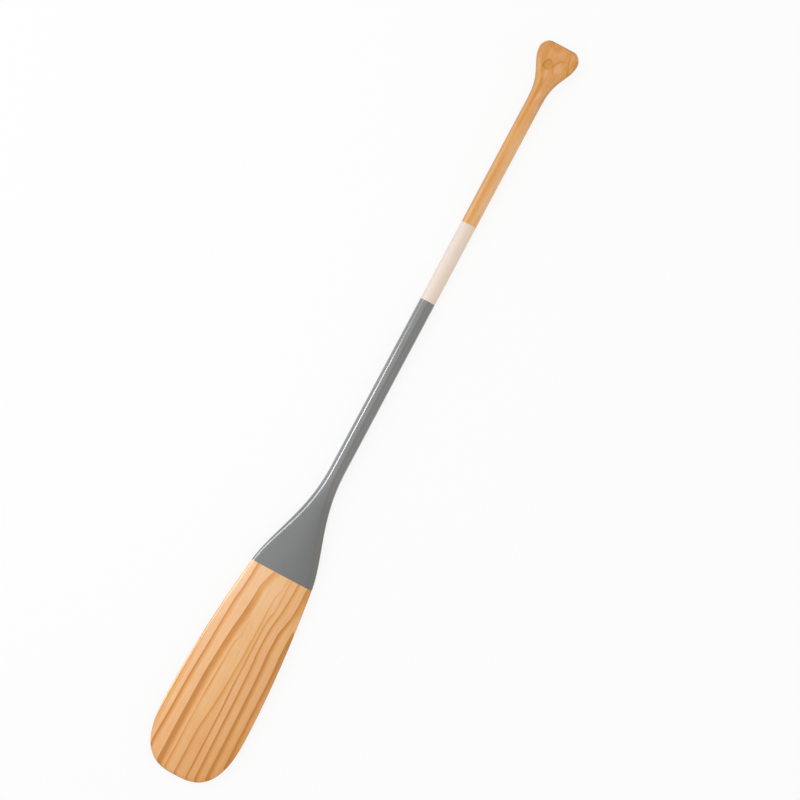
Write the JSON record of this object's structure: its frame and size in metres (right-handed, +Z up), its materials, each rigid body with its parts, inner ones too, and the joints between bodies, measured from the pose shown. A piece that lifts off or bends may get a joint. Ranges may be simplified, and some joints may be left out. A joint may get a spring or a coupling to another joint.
{
  "type": "wooden oar",
  "caption": "Wooden paddle with a flat palm grip, a round shaft painted cream and grey below the bare wood, and one long blade of bare pine with a rounded tip.",
  "frame": {"origin": "Centre of the bounding box's bottom face: on the surface that the paddle lies on, midway between the grip's end and the blade's tip.", "axes": "+Y runs along the paddle from the blade to the grip, +X across the blade, and +Z up, square to the faces of the blade and the grip."},
  "size_m": [0.169, 1.524, 0.0305],
  "materials": {
    "pine": "satin",
    "cream_paint": "satin",
    "grey_paint": "gloss"
  },
  "bodies": {
    "root": {"shaft_stave": "pine", "blade_wing_left": "pine", "blade_wing_right": "pine", "grip_cheek_left": "pine", "grip_cheek_right": "pine", "cream_band": "cream_paint", "grey_coat": "grey_paint"}
  },
  "joints": []
}
